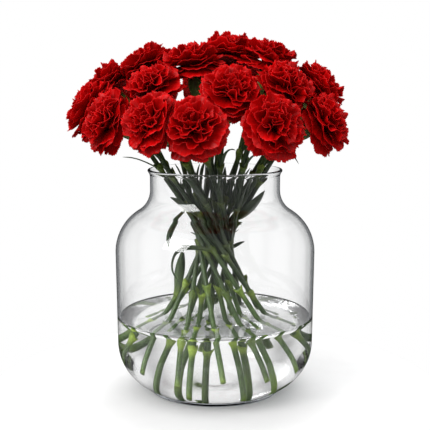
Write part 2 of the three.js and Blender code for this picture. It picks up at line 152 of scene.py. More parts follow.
bpy.context.scene.cycles.use_denoising = True
bpy.context.scene.cycles.transparent_max_bounces = LIGHT_BOUNCES
bpy.context.scene.cycles.transmission_bounces = GLASS_BOUNCES
bpy.context.scene.cycles.max_bounces = LIGHT_BOUNCES

key_light = bpy.data.lights.new("key_lamp", "AREA")
key_light.size = KEY_SIZE
key_light.energy = KEY_POWER
key = bpy.data.objects.new("key_lamp", key_light)
key.location = KEY_PLACE
key.rotation_euler = (Vector(LIT_PLACE) - Vector(KEY_PLACE)).to_track_quat("-Z", "Y").to_euler()
bpy.context.scene.collection.objects.link(key)

sky_light = bpy.data.lights.new("sky_lamp", "SUN")
sky_light.energy = SKY_STRENGTH
sky_light.angle = math.radians(SKY_SPREAD)
sky = bpy.data.objects.new("sky_lamp", sky_light)
sky.rotation_euler = [math.radians(angle) for angle in SKY_TILT]
sky.visible_glossy = False
sky.visible_transmission = False
bpy.context.scene.collection.objects.link(sky)

floor_material, floor_tree = new_material("white_board")
board_place = node(floor_tree, "TexCoord").outputs["Object"]
grain = node(floor_tree, "TexNoise", {"Vector": board_place, "Scale": 30})
board_white = ramp(floor_tree, grain.outputs[0], BOARD_WHITE)
# Painted shadow: the board's white is darkened softly round a point just in front of the foot, standing in
# for the vase's contact shadow.
painted_shadow_gap = node(floor_tree, "VectorMath", {0: board_place, 1: PAINTED_SHADOW_MIDDLE}, operation="DISTANCE")
shade = node(floor_tree, "MapRange", PAINTED_SHADOW_REACH, interpolation_type="SMOOTHSTEP")
floor_tree.links.new(painted_shadow_gap.outputs["Value"], shade.inputs["Value"])
board_white_with_painted_shadow = node(floor_tree, "VectorMath", {0: board_white}, operation="SCALE")
floor_tree.links.new(shade.outputs[0], board_white_with_painted_shadow.inputs["Scale"])
floor_shader = node(floor_tree, "BsdfPrincipled", {"Base Color": board_white_with_painted_shadow.outputs[0], "Roughness": 0.9})
floor_shader.inputs["Specular IOR Level"].default_value = 0
finish_material(floor_tree, floor_shader.outputs[0])
floor_mesh = bpy.data.meshes.new("floor")
bearings = np.arange(FLOOR_SIDES) * 2 * math.pi / FLOOR_SIDES
edge = [(FLOOR_RADIUS * math.cos(t), FLOOR_RADIUS * math.sin(t), 0) for t in bearings]
floor_mesh.from_pydata(edge, [], [tuple(range(FLOOR_SIDES))])
floor_mesh.materials.append(floor_material)
floor = bpy.data.objects.new("floor", floor_mesh)
floor.location.z = -FLOOR_DROP
floor.visible_glossy = False
bpy.context.scene.collection.objects.link(floor)

# ---- Vase ----
# One piece of clear soda glass, blown in a mould and finished by fire at the lip: a flat foot, a
# round heel, a straight body, a round shoulder and a narrow neck with a thicker lip turned outwards.
VASE_HEIGHT = 235
FOOT_RADIUS = 70.5
FOOT_HEIGHT = 3.5
FOOT_ROUND = 0.9
HEEL_RADIUS = 103.8
HEEL_CURVE = 52
BODY_RADIUS = 105
SHOULDER_CURVE = 50
SHOULDER_Z = 148
THROAT_CURVE = 26
NECK_RADIUS = 68.2
LIP_RADIUS = 70.6
LIP_ROUND = 1.5
LIP_HEIGHT = 7
LIP_TURN = (-0.5, math.pi + 0.3)  # radians, from outside over the top to inside
FLARE_OUTSIDE = (0.7, 4.6)  # how far the wall has turned out, and how far that is under the top
FLARE_INSIDE = (0.5, 4.4)
GLASS = 3
GLASS_FLOOR = 8
FLAT_RINGS = (40.5, 24)  # rings in the flat faces of the foot and of the glass floor
VASE_SIDES = 144
HEEL_STEPS, BODY_STEPS, SHOULDER_STEPS, THROAT_STEPS, LIP_STEPS = 20, 6, 18, 14, 12
GLASS_SMOKE = 12  # how strongly the glass darkens what is seen through its depth, per metre
GLASS_TINT = (0.80, 0.83, 0.86, 1)
GLASS_CLEAR = {"ior": 1.5, "unevenness": 0.02 * MM, "scale": 9, "shade": (0.75, 0.755, 0.76, 1)}


def arc(x, z, radius, start, end, steps):
    """Points on a circle in the plane of a wall's outline. Angles are in radians."""
    turns = np.linspace(start, end, steps + 1)
    return [(x + radius * math.cos(t), z + radius * math.sin(t)) for t in turns]


def wall_line(inset, bottom, top=VASE_HEIGHT):
    """The line of the wall, moved inwards by an inset, from a height up to another or to the neck."""
    heel_x = HEEL_RADIUS - HEEL_CURVE
    heel_round = HEEL_CURVE - inset
    shoulder_x = BODY_RADIUS - SHOULDER_CURVE
    throat_x = NECK_RADIUS + THROAT_CURVE
    rise = math.sqrt((SHOULDER_CURVE + THROAT_CURVE) ** 2 - (throat_x - shoulder_x) ** 2)
    turn = math.atan2(rise, throat_x - shoulder_x)
    start = -math.asin((HEEL_CURVE - bottom) / heel_round)
    line = arc(heel_x, HEEL_CURVE, heel_round, start, 0, HEEL_STEPS)
    straight_end = min(top, SHOULDER_Z)
    for height in np.linspace(HEEL_CURVE, straight_end, BODY_STEPS + 1)[1:-1]:
        share = (height - HEEL_CURVE) / (SHOULDER_Z - HEEL_CURVE)
        line.append((HEEL_RADIUS + (BODY_RADIUS - HEEL_RADIUS) * share - inset, height))
    if top < SHOULDER_Z:
        share = (top - HEEL_CURVE) / (SHOULDER_Z - HEEL_CURVE)
        return line + [(HEEL_RADIUS + (BODY_RADIUS - HEEL_RADIUS) * share - inset, top)]
    line += arc(shoulder_x, SHOULDER_Z, SHOULDER_CURVE - inset, 0, turn, SHOULDER_STEPS)
    throat_z, throat_round = SHOULDER_Z + rise, THROAT_CURVE + inset
    return line + arc(throat_x, throat_z, throat_round, math.pi + turn, math.pi, THROAT_STEPS)[1:]


def lathe(outline, sides):
    """A closed body turned round the axis from an outline that starts and ends on it."""
    turns = np.arange(sides) * 2 * math.pi / sides
    rings = [(r * np.cos(turns), r * np.sin(turns), np.full(sides, z)) for r, z in outline[1:-1]]
    points = np.concatenate([np.stack(ring, 1) for ring in rings])
    points = np.vstack([points, [0, 0, outline[0][1]], [0, 0, outline[-1][1]]])
    start, end = len(points) - 2, len(points) - 1
    faces = []
    for k in range(len(rings) - 1):
        for i in range(sides):
            j = (i + 1) % sides
            faces.append((k * sides + i, k * sides + j, (k + 1) * sides + j, (k + 1) * sides + i))
    last = (len(rings) - 1) * sides
    for i in range(sides):
        j = (i + 1) % sides
        faces.append((start, j, i))
        faces.append((end, last + i, last + j))
    return points, faces


def add_piece(name, points, faces, material, cad_node, marks=None, places=None):
    """A smooth object of the bunch that stands for a node. Marks are values for its points, and
    places are positions on a petal or leaf, both read by its material."""
    mesh = bpy.data.meshes.new(name)
    mesh.from_pydata(np.asarray(points) * MM, [], faces)
    for mark, values in (marks or {}).items():
        mesh.attributes.new(mark, "FLOAT", "POINT").data.foreach_set("value", np.asarray(values, np.float32))
    if places is not None:
        corners = np.empty(len(mesh.loops), np.int32)
        mesh.loops.foreach_get("vertex_index", corners)
        layer = mesh.uv_layers.new(name="places")
        layer.data.foreach_set("uv", np.asarray(places, np.float32)[corners].ravel())
    mesh.materials.append(material)
    mesh.shade_smooth()
    mesh.update()
    made = bpy.data.objects.new(name, mesh)
    bpy.context.scene.collection.objects.link(made)
    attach(made, "root")
    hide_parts(cad_node)
    return made


def clear_shader(tree, ior, unevenness, scale, shade):
    """A clear shader with a faint unevenness, which lets lamps through to what it holds. The shade is
    what is left of their light behind each surface."""
    noise = node(tree, "TexNoise", {"Vector": node(tree, "TexCoord").outputs["Object"], "Scale": scale})
    bump = node(tree, "Bump", {"Height": noise.outputs[0], "Strength": 1, "Distance": unevenness})
    clear = node(tree, "BsdfPrincipled", {"Base Color": (1, 1, 1, 1), "Roughness": 0, "IOR": ior})
    clear.inputs["Transmission Weight"].default_value = 1
    tree.links.new(bump.outputs[0], clear.inputs["Normal"])
    through = node(tree, "BsdfTransparent", {"Color": shade})
    mixed = node(tree, "MixShader", {"Fac": node(tree, "LightPath").outputs["Is Shadow Ray"]})
    tree.links.new(clear.outputs[0], mixed.inputs[1])
    tree.links.new(through.outputs[0], mixed.inputs[2])
    return mixed.outputs[0]


glass_material, glass_tree = new_material("clear_glass")
smoke = node(glass_tree, "VolumeAbsorption", {"Color": GLASS_TINT, "Density": GLASS_SMOKE})
finish_material(glass_tree, clear_shader(glass_tree, **GLASS_CLEAR), smoke.outputs[0])

lip_middle = LIP_RADIUS - LIP_ROUND
neck_inside = NECK_RADIUS - GLASS
vase_outline = [(0, 0), (FLAT_RINGS[0], 0), (FOOT_RADIUS - FOOT_ROUND * 4 / 3, 0)]
vase_outline += arc(FOOT_RADIUS - FOOT_ROUND, FOOT_ROUND, FOOT_ROUND, -math.pi / 3, 0, 3)
vase_outline += wall_line(0, FOOT_HEIGHT)
vase_outline.append((NECK_RADIUS, VASE_HEIGHT - LIP_HEIGHT))
vase_outline.append((NECK_RADIUS + FLARE_OUTSIDE[0], VASE_HEIGHT - FLARE_OUTSIDE[1]))
vase_outline += arc(lip_middle, VASE_HEIGHT - LIP_ROUND, LIP_ROUND, *LIP_TURN, LIP_STEPS)
vase_outline.append((neck_inside + FLARE_INSIDE[0], VASE_HEIGHT - FLARE_INSIDE[1]))
vase_outline.append((neck_inside, VASE_HEIGHT - LIP_HEIGHT))
vase_outline += wall_line(GLASS, GLASS_FLOOR)[::-1]
vase_outline += [(FLAT_RINGS[1], GLASS_FLOOR), (0, GLASS_FLOOR)]
vase_points, vase_faces = lathe(vase_outline, VASE_SIDES)
add_piece("vase_glass", vase_points, vase_faces, glass_material, "vase")

# ---- The run of each stem ----
# The stems cross at the waist of the bunch, each turned the same way round, and fan out above it to
# their blooms and below it to the glass. A stem is straight under the waist and bends over it.
WAIST_Z = 154
WAIST_RINGS = [1.5, 8.6, 16.9]  # distance of each ring of stems from the axis
RING_START = [0, 26, 1]  # degrees
RING_COUNTS = [1, 6, 12]
STEM_TURN = 76  # degrees between a stem's place at the waist and its bloom's
SLANT = 0.04
BEND_START = 0.5  # shares of the way from waist to bloom that the bend keeps each end's direction
BEND_END = 0.12
BEND_STEPS = 400
FOCUS_Z = 215  # the blooms look away from this height on the axis
FOOT_Z = [10.5, 11.5, 26]
FOOT_DRIFT = 7
FIRST_JOINT = 22
JOINT_STEP = 51
JOINT_DRIFT = 30
JOINTS = 5
CALYX_LENGTH = 27
BLOOM_CENTRE = 13  # from the calyx's rim to the middle of the bloom
RUN_SEED = 100

# Middle of each bloom, and how much of its height counts when it looks up. The first stem stands in the
# middle, six round it and twelve outside them, both anticlockwise from the right.
BLOOMS = [
    (-24, -8, 343, 1),
    (57, 3, 346, 1),
    (16, 36, 353, 1),
    (-74, 36, 340, 1),
    (-62, -34, 320, 1),
    (18, -58, 315, 0.7),
    (71, -42, 319, 0.9),
    (107, 14, 319, 1),
    (107, 60, 304, 1),
    (64, 82, 320, 1),
    (-5, 96, 322, 1),
    (-73, 93, 314, 1),
    (-115, 42, 318, 1),
    (-128, -6, 296, 0.8),
    (-106, -50, 286, 0.8),
    (-62, -79, 287, 0.9),
    (-20, -92, 283, 0.9),
    (58, -82, 284, 0.6),
    (108, -42, 286, 0.9),
]


def seeded(seed):
    """Draws between 0 and 1 that are the same in every run, by 32-bit steps."""
    state = seed
    whole = 0xFFFFFFFF

    def draw():
        nonlocal state
        state = (state + 0x6D2B79F5) & whole
        t = ((state ^ state >> 15) * (1 | state)) & whole
        t = (t + (((t ^ t >> 7) * (61 | t)) & whole)) & whole ^ t
        return (t ^ t >> 14) / (whole + 1)

    return draw


def unit(v):
    """A vector's direction, with length 1."""
    return v / np.linalg.norm(v)


def turned(v, axis, degrees):
    """A vector turned round an axis of length 1."""
    a = math.radians(degrees)
    return v * math.cos(a) + np.cross(axis, v) * math.sin(a) + axis * np.dot(axis, v) * (1 - math.cos(a))


class StemRun:
    """The middle line of one stem, read by the distance from its cut foot."""

    def __init__(self, index):
        ring = 0 if index == 0 else 1 if index <= RING_COUNTS[1] else 2
        place = index - sum(RING_COUNTS[:ring])
        bearing = math.radians(RING_START[ring] + place * 360 / RING_COUNTS[ring] + STEM_TURN)
        radius = WAIST_RINGS[ring]
        self.waist = np.array([radius * math.cos(bearing), radius * math.sin(bearing), WAIST_Z])
        rising = np.array([SLANT * self.waist[1], -SLANT * self.waist[0], 1])
        draw = seeded(RUN_SEED + index)
        foot_z = FOOT_Z[ring] + FOOT_DRIFT * draw()
        first_joint = FIRST_JOINT + JOINT_DRIFT * draw()
        self.joints = [first_joint + k * JOINT_STEP for k in range(JOINTS)]
        self.foot = self.waist + rising * (foot_z - WAIST_Z)
        x, y, z, lift = BLOOMS[index]
        self.centre = np.array([x, y, z], float)
        self.axis = unit(np.array([x, y, (z - FOCUS_Z) * lift]))
        self.head = self.centre - self.axis * (CALYX_LENGTH + BLOOM_CENTRE)
        reach = np.linalg.norm(self.head - self.waist)
        handles = [self.waist, self.waist + unit(rising) * BEND_START * reach]
        handles += [self.head - self.axis * BEND_END * reach, self.head]
        share = np.linspace(0, 1, BEND_STEPS + 1)[:, None]
        weights = [(1 - share) ** 3, 3 * share * (1 - share) ** 2, 3 * share**2 * (1 - share), share**3]
        bend = sum(w * h for w, h in zip(weights, handles))
        self.points = np.vstack([self.foot, bend])
        steps = np.linalg.norm(np.diff(self.points, axis=0), axis=1)
        self.distances = np.concatenate([[0], np.cumsum(steps)])
        self.length = self.distances[-1]

    def at(self, distance):
        """The point at a distance from the foot."""
        return np.array([np.interp(distance, self.distances, self.points[:, i]) for i in range(3)])

    def heading(self, distance):
        """The direction that the stem takes there."""
        near = min(max(distance, 1), self.length - 1)
        return unit(self.at(near + 1) - self.at(near - 1))


runs = [StemRun(index) for index in range(len(BLOOMS))]

# ---- Water ----
# Clear tap water that fills the vase to a third of its height. It stands in the glass without a gap,
# and creeps up a little at the wall and round every stem that goes through its surface.
WATER_LEVEL = 79.5
WATER_SEAT = 0.05  # how far it reaches into the glass, so that no air shows between them
WALL_CREEP = 1.2
STEM_CREEP = 1.5
CREEP_WIDTH = 1.9
WATER_RINGS = 78
STEM_RADIUS = 2.7
WATER_CLEAR = {"ior": 1.333, "unevenness": 0.03 * MM, "scale": 14, "shade": (0.84, 0.85, 0.85, 1)}

level_radius = wall_line(GLASS - WATER_SEAT, GLASS_FLOOR, WATER_LEVEL)[-1][0]
water_outline = [(0, GLASS_FLOOR - WATER_SEAT)]
water_outline += wall_line(GLASS - WATER_SEAT, GLASS_FLOOR - WATER_SEAT, WATER_LEVEL + WALL_CREEP)
for share in np.linspace(0.999, 0.0004, WATER_RINGS):  # even shares of the surface, from wall to middle
    water_outline.append((level_radius * math.sqrt(share), WATER_LEVEL))
water_outline += [(0, WATER_LEVEL)]
water_points, water_faces = lathe(water_outline, VASE_SIDES)
surface = np.isclose(water_points[:, 2], WATER_LEVEL)
flat = water_points[surface][:, :2]
wall_gap = level_radius - np.linalg.norm(flat, axis=1)
rise = WALL_CREEP * np.exp(-wall_gap / CREEP_WIDTH)
for run in runs:
    share = (WATER_LEVEL - run.foot[2]) / (WAIST_Z - run.foot[2])
    through = run.foot + (run.waist - run.foot) * share
    gap = np.maximum(np.linalg.norm(flat - through[:2], axis=1) - STEM_RADIUS, 0)
    rise = np.maximum(rise, STEM_CREEP * np.exp(-gap / CREEP_WIDTH))
water_points[surface, 2] += rise

water_material, water_tree = new_material("still_water")
finish_material(water_tree, clear_shader(water_tree, **WATER_CLEAR))
add_piece("vase_water", water_points, water_faces, water_material, "water")

# ---- Stems ----
# A carnation's stem is smooth, waxy and blue-green, and swells at each joint to a paler knob, where
# the torn remains of a stripped pair of leaves stand up. Some joints keep a leaf. Its foot is cut square.
STEM_SIDES = 14
STEM_TAPER = 0.1  # share of the foot's radius that is lost by the head
STEM_SEED = 300
JOINT_SWELL = 1.4
SWELL_LENGTHS = (2.0, 3.2)  # how far the swelling runs out, above and below the joint
BLUSH_LENGTHS = (2.6, 5.5)  # the same for its paler colour
BLUSH_DROP = 1.2
BLUSH = 0.8  # how pale a joint turns, from 0 to 1
FOOT_BLUSH = 0.45  # the same for the cut foot
FOOT_BLUSH_LENGTH = 5
TUBE_STEP = 3
JOINT_RINGS = (-4, -2.6, -1.4, -0.6, 0.4, 1.4, 2.4, 3.6)
RING_GAP = 0.35  # rings that lie closer than this are left out
SHEATH_SIDES = 18
SHEATH_THICK = 0.4
SHEATH_RIM = 1.4  # how far the collar stands up between the torn remains
SHEATH_FLARE = 0.25  # how far it stands off the joint there
SHEATH_REACH = (2.2, 6.5)  # how far the torn remains stand up, at least and at most
SHEATH_LEAN = (0.2, 1.9)  # how far they lean out, at least, and how much that can grow
LOBE_POINT = 1.6  # how narrow they are: 1 follows a cosine


def tube(centres, headings, radii, sides, across):
    """Rings of points round a line, first corner towards across."""
    turns = np.arange(sides) * 2 * math.pi / sides
    rings = []
    for centre, heading, radius in zip(centres, headings, radii):
        side = unit(across - heading * np.dot(across, heading))
        other = np.cross(heading, side)
        spread = np.outer(np.cos(turns), side) + np.outer(np.sin(turns), other)
        rings.append(centre + spread * np.reshape(radius, (-1, 1)))
    return np.array(rings)


def ring_faces(first, rings, sides, closed=False):
    """Faces between rows of rings, and round again to the first ring if closed."""
    faces = []
    for k in range(rings if closed else rings - 1):
        below = first + k * sides
        above = first + (k + 1) % rings * sides
        for i in range(sides):
            j = (i + 1) % sides
            faces.append((below + i, below + j, above + j, above + i))
    return faces


class Growth:
    """Points, faces and marks of one leafy stem, gathered piece by piece."""

    def __init__(self):
        self.points, self.faces, self.pale, self.leafy, self.count = [], [], [], [], 0

    def add(self, rings, pale, leafy=0.0, closed=False, caps=True):
        """A skin over rings. Pale marks the yellow-green of joints, and leafy the grey wax of a leaf."""
        n, sides = rings.shape[0], rings.shape[1]
        first = self.count
        self.faces += ring_faces(first, n, sides, closed)
        if caps and not closed:
            self.faces.append(tuple(first + i for i in reversed(range(sides))))
            self.faces.append(tuple(first + (n - 1) * sides + i for i in range(sides)))
        self.points.append(rings.reshape(-1, 3))
        self.pale.append(np.broadcast_to(np.reshape(pale, (-1, 1)), (n, sides)).ravel())
        self.leafy.append(np.full(n * sides, leafy))
        self.count += n * sides


ACROSS = np.array([1.0, 0, 0])


def fading(distance, lengths, drop=0.0):
    """How much of a joint's swelling or blush is left at a distance above it, or below if negative.
    It is strongest a drop under the joint."""
    return math.exp(-(((distance + drop) / lengths[0 if distance > 0 else 1]) ** 2))


def grow_stem(growth, run, draw):
    """The stem's own tube with its swollen joints, and a torn collar at each joint."""
    distances = set(np.arange(0, run.length, TUBE_STEP)) | {0.0, run.length}
    for joint in run.joints:
        distances |= {joint + offset for offset in JOINT_RINGS}
    distances = sorted(distances)
    distances = [d for k, d in enumerate(distances) if k == 0 or d - distances[k - 1] > RING_GAP]
    ripe = [0.25 + 0.75 * draw() for _ in run.joints]  # how far each joint has turned yellow
    radii, pale = [], []
    for d in distances:
        swell = sum(fading(d - joint, SWELL_LENGTHS) for joint in run.joints)
        blushes = [fading(d - joint, BLUSH_LENGTHS, BLUSH_DROP) for joint in run.joints]
        blush = sum(share * strength for share, strength in zip(ripe, blushes))
        taper = 1.0 - STEM_TAPER * d / run.length
        radii.append(STEM_RADIUS * (taper + (JOINT_SWELL - 1) * min(swell, 1)))
        pale.append(min(blush, 1) * BLUSH + FOOT_BLUSH * math.exp(-d / FOOT_BLUSH_LENGTH))
    centres = [run.at(d) for d in distances]
    headings = [run.heading(d) for d in distances]
    growth.add(tube(centres, headings, radii, STEM_SIDES, ACROSS), pale)
    for joint, share in zip(run.joints, ripe):
        grow_sheath(growth, run, joint, share, draw)


def grow_sheath(growth, run, joint, ripe, draw):
    """The collar at a joint: a thin sleeve whose two opposite lobes are torn off short."""
    sides = SHEATH_SIDES
    turns = np.arange(sides) * 2 * math.pi / sides
    start = draw() * 2 * math.pi
    heights, flares = np.empty(sides), np.empty(sides)
    reach = [SHEATH_REACH[0] + (SHEATH_REACH[1] - SHEATH_REACH[0]) * draw() for _ in range(2)]
    lean = [SHEATH_LEAN[0] + SHEATH_LEAN[1] * draw() ** 2 for _ in range(2)]
    for i, turn in enumerate(turns):
        lobe = 0 if math.cos(turn - start) > 0 else 1
        strength = abs(math.cos(turn - start)) ** LOBE_POINT
        heights[i] = SHEATH_RIM + reach[lobe] * strength * (0.7 + 0.45 * draw())
        flares[i] = SHEATH_FLARE + lean[lobe] * strength
    base = STEM_RADIUS * JOINT_SWELL
    heading = run.heading(joint)
    low, middle = run.at(joint - 1.2), run.at(joint + 0.4)
    outer = [(low, base - 0.5, 0), (middle, base + 0.15, 0), (middle, base + flares, heights)]
    inner = [(middle, base + flares - SHEATH_THICK, heights - 0.1), (middle, base - SHEATH_THICK, 0.4)]
    rings = []
    for centre, radius, lift in outer + inner:
        ring = tube([centre], [heading], [np.broadcast_to(radius, sides)], sides, ACROSS)[0]
        rings.append(ring + np.outer(np.broadcast_to(lift, sides), heading))
    growth.add(np.array(rings), ripe * np.array([0.95, 1, 0.8, 0.75, 0.95]), closed=True)


# Leaves: bloom number, joint that it grows from, degrees aside, length, degrees off the stem and of curl,
# width, and degrees by which it turns over from base to tip
LEAVES = [
    (5, 4, 0, 46, 4, 20, 6, 40),
    (6, 4, 0, 40, 6, 20, 6, 40),
    (6, 5, 30, 34, 12, 120, 5, 0),
    (7, 4, 0, 46, 5, 20, 6, 40),
    (8, 4, 0, 22, 60, 40, 5, 0),
    (8, 5, 10, 34, 10, 90, 5, 0),
    (9, 2, 30, 54, 26, 0, 11, 120),
    (9, 4, 0, 50, 5, 20, 7, 40),
    (9, 5, -10, 44, -4, 120, 5, 0),
    (10, 3, 30, 20, 60, 40, 4, 0),
    (10, 4, 10, 56, 6, 40, 6, 40),
    (10, 5, 15, 36, 10, 80, 5, 0),
    (11, 3, 0, 20, 70, 60, 4, 30),
    (11, 4, -10, 58, 6, 50, 6, 40),
    (11, 5, 0, 38, 15, 100, 5, 0),
    (12, 4, 0, 50, 5, 30, 7, 40),
    (12, 5, -15, 34, 10, 110, 5, 0),
    (13, 4, 0, 54, 2, 30, 7, 40),
    (13, 5, 10, 44, -10, 120, 5, 0),
    (14, 3, -32, 98, 60, 185, 7, 60),
    (14, 4, -20, 46, 110, 60, 8, 90),
    (14, 5, -5, 40, 30, 40, 4, 0),
    (15, 3, 0, 46, 8, 20, 7, 60),
    (15, 4, -10, 40, 20, 20, 9, 30),
    (15, 5, 0, 50, -2, 110, 5, 0),
    (16, 3, 0, 46, 8, 20, 7, 60),
    (16, 4, -15, 50, 4, 50, 7, 30),
    (17, 3, 0, 44, 8, 20, 7, 60),
    (17, 4, 10, 50, 10, 70, 6, 30),
    (18, 3, 0, 18, 60, 30, 5, 0),
    (18, 4, 0, 50, 5, 20, 7, 60),
    (18, 5, 10, 34, 20, 90, 5, 0),
    (19, 4, -70, 54, 20, -8, 15, 20),
    (19, 5, 0, 62, -8, 190, 5, 0),
]
INNER_JOINTS = [3, 4]  # joints that keep a short leaf on the inner side, in the thick of the bunch
INNER_SPREAD = 90  # degrees over which those leaves point inwards
LEAF_SEAT = 0.4  # how far from the stem's middle a leaf starts, as a share of the stem's radius
LEAF_KEEL = 0.29  # depth of the fold down its middle at the base, as a share of its width
KEEL_LOSS = 0.45  # share of that depth which is gone at the tip
EDGE_LOSS = 0.6  # share of its thickness which is gone at the edge
LEAF_STATIONS = 5
LEAF_FINE = 5  # steps between two stations
LEAF_THICK = 0.6
LEAF_ACROSS = 9
LEAF_OUTLINE = (0.28, 0.62)  # part of a sine wave that gives the width: where it starts, and how much


def through_points(points, share):
    """A point on the smooth line through a row of points."""
    last = len(points) - 1
    k = min(int(share * last), last - 1)
    t = share * last - k
    a, b = points[max(k - 1, 0)], points[k]
    c, d = points[k + 1], points[min(k + 2, last)]
    return 0.5 * (2 * b + (c - a) * t + (2 * a - 5 * b + 4 * c - d) * t**2 + (3 * b - a - 3 * c + d) * t**3)


def grow_leaf(growth, run, joint, aside, length, off, curl, width, twist):
    """A folded strap leaf that curls outwards and down, and turns over on its way to its tip."""
    point, direction = run.at(run.joints[joint - 1]), run.heading(run.joints[joint - 1])
    outwards = turned(unit(np.array([point[0], point[1], 0])), np.array([0, 0, 1.0]), aside)
    hinge = unit(np.cross(direction, outwards))
    line = [point + outwards * STEM_RADIUS * LEAF_SEAT]
    for k in range(LEAF_STATIONS):
        heading = turned(direction, hinge, off + curl * (k / LEAF_STATIONS) ** 2)
        line.append(line[-1] + heading * length / LEAF_STATIONS)
    steps = LEAF_STATIONS * LEAF_FINE
    middle = np.array([through_points(line, k / steps) for k in range(steps + 1)])
    across = np.linspace(-1, 1, LEAF_ACROSS)
    rings = []
    # The numbers a little over 1 keep the tip from closing to nothing.
    for k in range(steps + 1):
        share = k / steps
        heading = unit(middle[min(k + 1, steps)] - middle[max(k - 1, 0)])
        flat = unit(hinge - heading * np.dot(hinge, heading))
        side = turned(flat, heading, twist * share)
        back = np.cross(side, heading)
        wave = math.sin(math.pi * (LEAF_OUTLINE[0] + LEAF_OUTLINE[1] * share))
        half = width / 2 * wave * (1.02 - share**10)
        keel = LEAF_KEEL * width * (1 - KEEL_LOSS * share)
        fold = keel * (1 - np.abs(across) ** 1.4) * min(1, 4.5 * (1.03 - share))
        body = LEAF_THICK / 2 * (1 - EDGE_LOSS * across**2) * min(1, 6 * (1.05 - share))
        outer = middle[k] + np.outer(across * half, side) + np.outer(fold + body, back)
        inner = middle[k] + np.outer(across * half * 0.97, side) + np.outer(fold - body, back)
        rings.append(np.vstack([outer, inner[::-1]]))
    pale = [0.75 * math.exp(-k / 3) for k in range(steps + 1)]
    growth.add(np.array(rings), pale, leafy=1.0)


# The calyx is the tight green cup under the bloom: a tube that widens to five pointed teeth, with two
# pairs of short scales pressed to its foot.
CALYX_RADIUS = 7.2
TOOTH = 3
CUP_DEPTH = 9
CALYX_SIDES = 40
TEETH = 5
RIB = 0.12
CALYX_OUTLINE = [(1.5, 4.2), (4, 5.6), (8, 6.4), (13, 6.9)]  # heights and radii up the outside
SCALES = 4
SCALE_LENGTH = 8
SCALE_WIDTH = 6.4
SCALE_THICK = 0.6
SCALE_RINGS = 7
SCALE_FOOT = 2.6  # distance of a scale from the middle at its foot
SCALE_SWELL = 3.9  # how much further out the cup carries its tip
SCALE_GAP = 0.35


def grow_calyx(growth, run):
    """The cup, from its foot up the outside, over the teeth and a little way down the inside."""
    turns = np.arange(CALYX_SIDES) * 2 * math.pi / CALYX_SIDES
    tooth = np.abs((turns * TEETH / (2 * math.pi)) % 1 - 0.5) * 2  # 1 at the tip of a tooth, 0 in a notch
    tooth = tooth**1.3
    rib = RIB * np.cos(turns * 2 * TEETH)
    outside = [(-1.5, 0.9 * STEM_RADIUS), (0, 0.96 * STEM_RADIUS), *CALYX_OUTLINE]
    outside += [(17, CALYX_RADIUS), (CALYX_LENGTH - TOOTH - 2, CALYX_RADIUS * 0.98)]
    rings, pale = [], []
    for height, radius in outside:
        rings.append((np.full(CALYX_SIDES, height), radius + rib * min(1, max(height, 0) / 6)))
        pale.append(0.35 - 0.012 * height)
    edge = CALYX_LENGTH - TOOTH + 2 * TOOTH * tooth
    rim = CALYX_RADIUS * (0.9 + 0.08 * tooth)
    rings.append((edge, rim))
    rings.append((edge - 0.3, rim - 0.5))
    rings.append((np.full(CALYX_SIDES, CALYX_LENGTH - TOOTH - 2), np.full(CALYX_SIDES, CALYX_RADIUS * 0.8)))
    rings.append((np.full(CALYX_SIDES, CALYX_LENGTH - CUP_DEPTH), np.full(CALYX_SIDES, CALYX_RADIUS * 0.6)))
    pale += [0.1, 0.1, 0.5, 0.6]
    skins = []
    for heights, radii in rings:
        ring = tube([run.head], [run.axis], [radii], CALYX_SIDES, ACROSS)[0]
        skins.append(ring + np.outer(heights, run.axis))
    growth.add(np.array(skins), pale, leafy=0.2)
    for k in range(SCALES):
        grow_scale(growth, run, 45 + 90 * k, 1 if k % 2 else 0.8)


def grow_scale(growth, run, bearing, size):
    """One pointed scale at the foot of the calyx."""
    side = unit(ACROSS - run.axis * np.dot(ACROSS, run.axis))
    out = turned(side, run.axis, bearing)
    hinge = np.cross(run.axis, out)
    rings = []
    for share in np.linspace(0, 1, SCALE_RINGS):
        height = SCALE_LENGTH * size * share - 1
        radius = SCALE_FOOT + SCALE_SWELL * math.sin(math.pi / 2 * min(1, share * 1.15)) + SCALE_GAP
        half = SCALE_WIDTH / 2 * size * math.sqrt(max(1 - share**1.7, 0.002))
        across = np.linspace(-1, 1, 5)
        bend = -0.5 * across**2 * half * half / 6
        spread = np.outer(across * half, hinge)
        outer = run.head + run.axis * height + spread + np.outer(radius + SCALE_THICK / 2 + bend, out)
        inner = run.head + run.axis * height + spread + np.outer(radius - SCALE_THICK / 2 + bend, out)
        rings.append(np.vstack([inner, outer[::-1]]))
    growth.add(np.array(rings), [0.5, 0.4, 0.3, 0.2, 0.2, 0.3, 0.4], leafy=0.3)


# The wax lies in fine streaks along the green. The colour carries painted light and shade by height: painted
# shade darkens it at the waist, where the stems stand close together, and painted light brightens it towards
# the cut foot and the bloom. Each stem has a tone of its own.
STEM_GREENS = [(0.25, (0.010, 0.023, 0.004)), (0.75, (0.034, 0.064, 0.010))]
JOINT_GREENS = [(0.3, (0.085, 0.145, 0.010)), (0.7, (0.27, 0.36, 0.05))]
WAX_GREEN = (0.075, 0.125, 0.045, 1)
LEAF_GREEN = (0.058, 0.090, 0.046, 1)
# Painted light and shade on the stems: a brightness over the height of the bunch, from the foot up to the
# blooms, that multiplies the green.
STEM_PAINTED_LIGHT = [(0.0, 2.4), (0.22, 1.7), (0.42, 0.85), (0.6, 0.42), (0.8, 0.65), (1.0, 2.0)]
STEM_PAINTED_LIGHT_HEIGHTS = {"From Min": 30 * MM, "From Max": 280 * MM}

